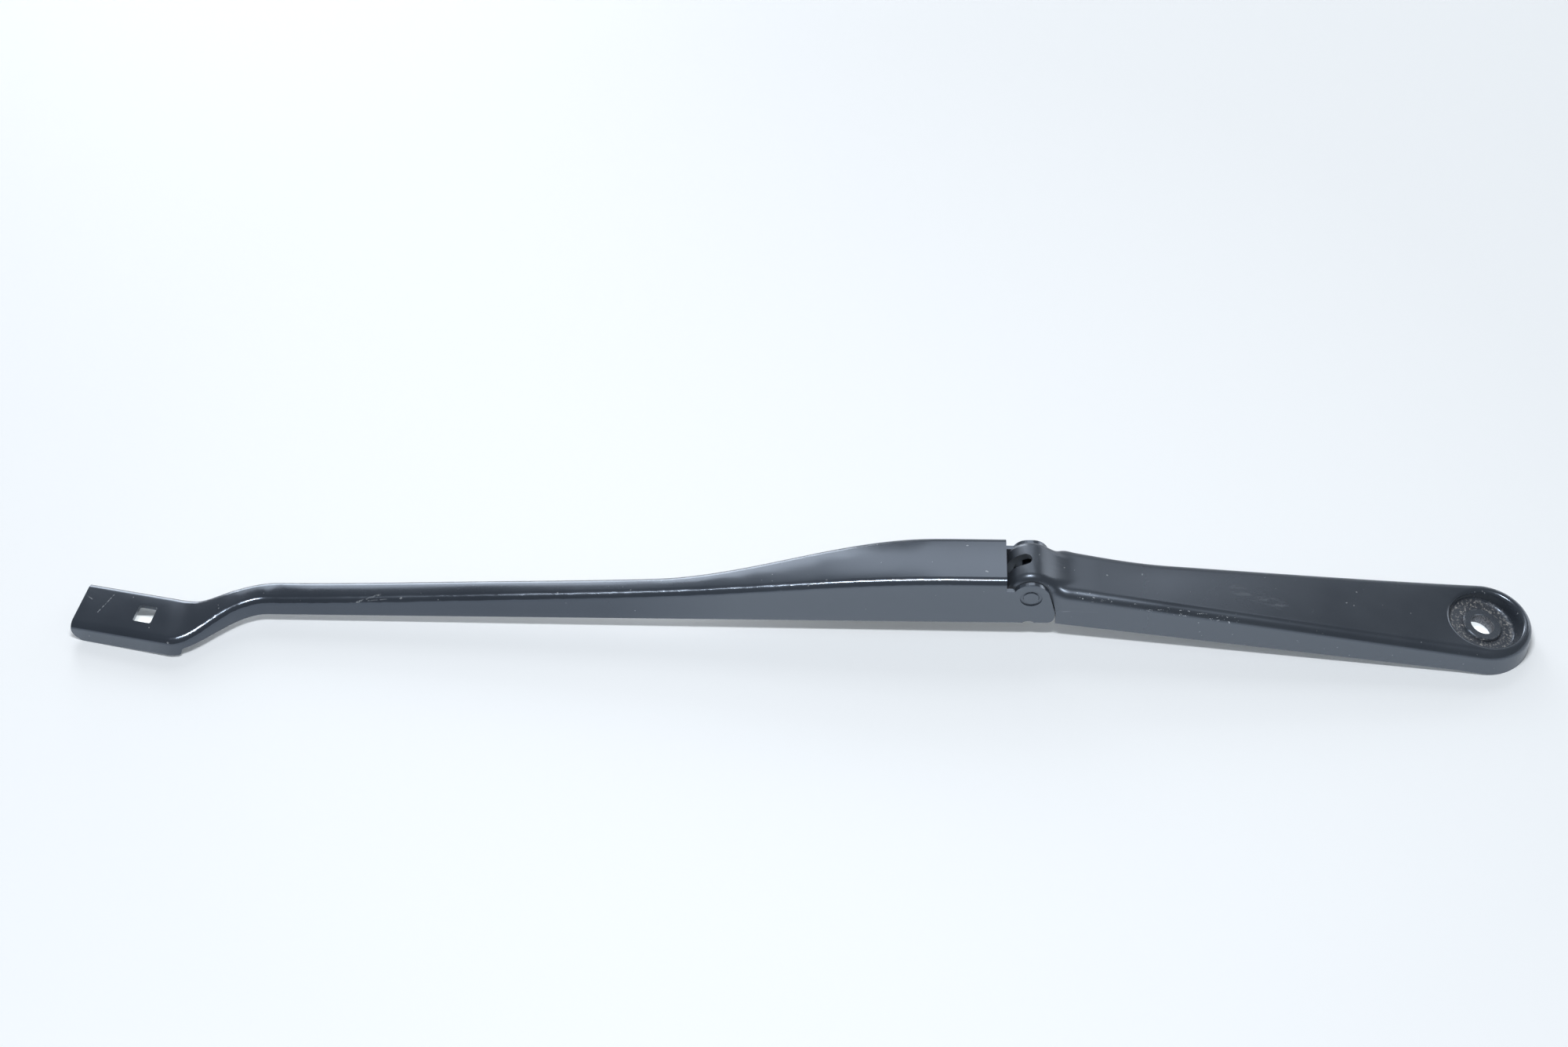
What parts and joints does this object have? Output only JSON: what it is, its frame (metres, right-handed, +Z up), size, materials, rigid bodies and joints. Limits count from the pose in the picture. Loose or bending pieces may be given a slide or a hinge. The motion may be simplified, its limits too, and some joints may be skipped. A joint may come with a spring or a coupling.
{
  "type": "wiper arm",
  "caption": "Black painted wiper arm with hinged pressed-steel channel, push-button blade holder and die-cast head on a leaning splined spindle.",
  "frame": {"origin": "on the spindle axis, in the middle of the nut seat", "axes": "X along the arm with the tip towards -X; Z up from the surface the arm lies on; -Y is the side of the straight near wall"},
  "size_m": [0.5491, 0.045, 0.0305],
  "materials": {
    "arm_paint": "satin",
    "head_paint": "satin",
    "rivet_paint": "satin",
    "spring_steel": "satin",
    "link_steel": "satin",
    "pin_steel": "satin"
  },
  "bodies": {
    "head": {"mounting_head": "head_paint", "link_pin": "pin_steel"},
    "arm": {"arm_channel": "arm_paint", "hinge_rivet": "rivet_paint", "spring_anchor": "pin_steel", "spring": "spring_steel"},
    "link": {"spring_link": "link_steel"}
  },
  "joints": [
    {"name": "arm_lift", "type": "hinge", "parent": "head", "child": "arm", "pos_m": [-0.1702, 0.0084, 0.0131], "axis": [0, 1, 0], "range_deg": [0, 70], "stiffness_Nm_per_rad": 0.6, "springref_deg": -114.59, "deforming": ["spring"]},
    {"name": "link_swing", "type": "hinge", "parent": "head", "child": "link", "pos_m": [-0.1652, 0.0084, 0.0071], "axis": [0, 1, 0], "range_deg": [0, 65.4]}
  ],
  "couplings": [
    {"joint": "link_swing", "follows": "arm_lift", "ratio": 0.9332}
  ]
}
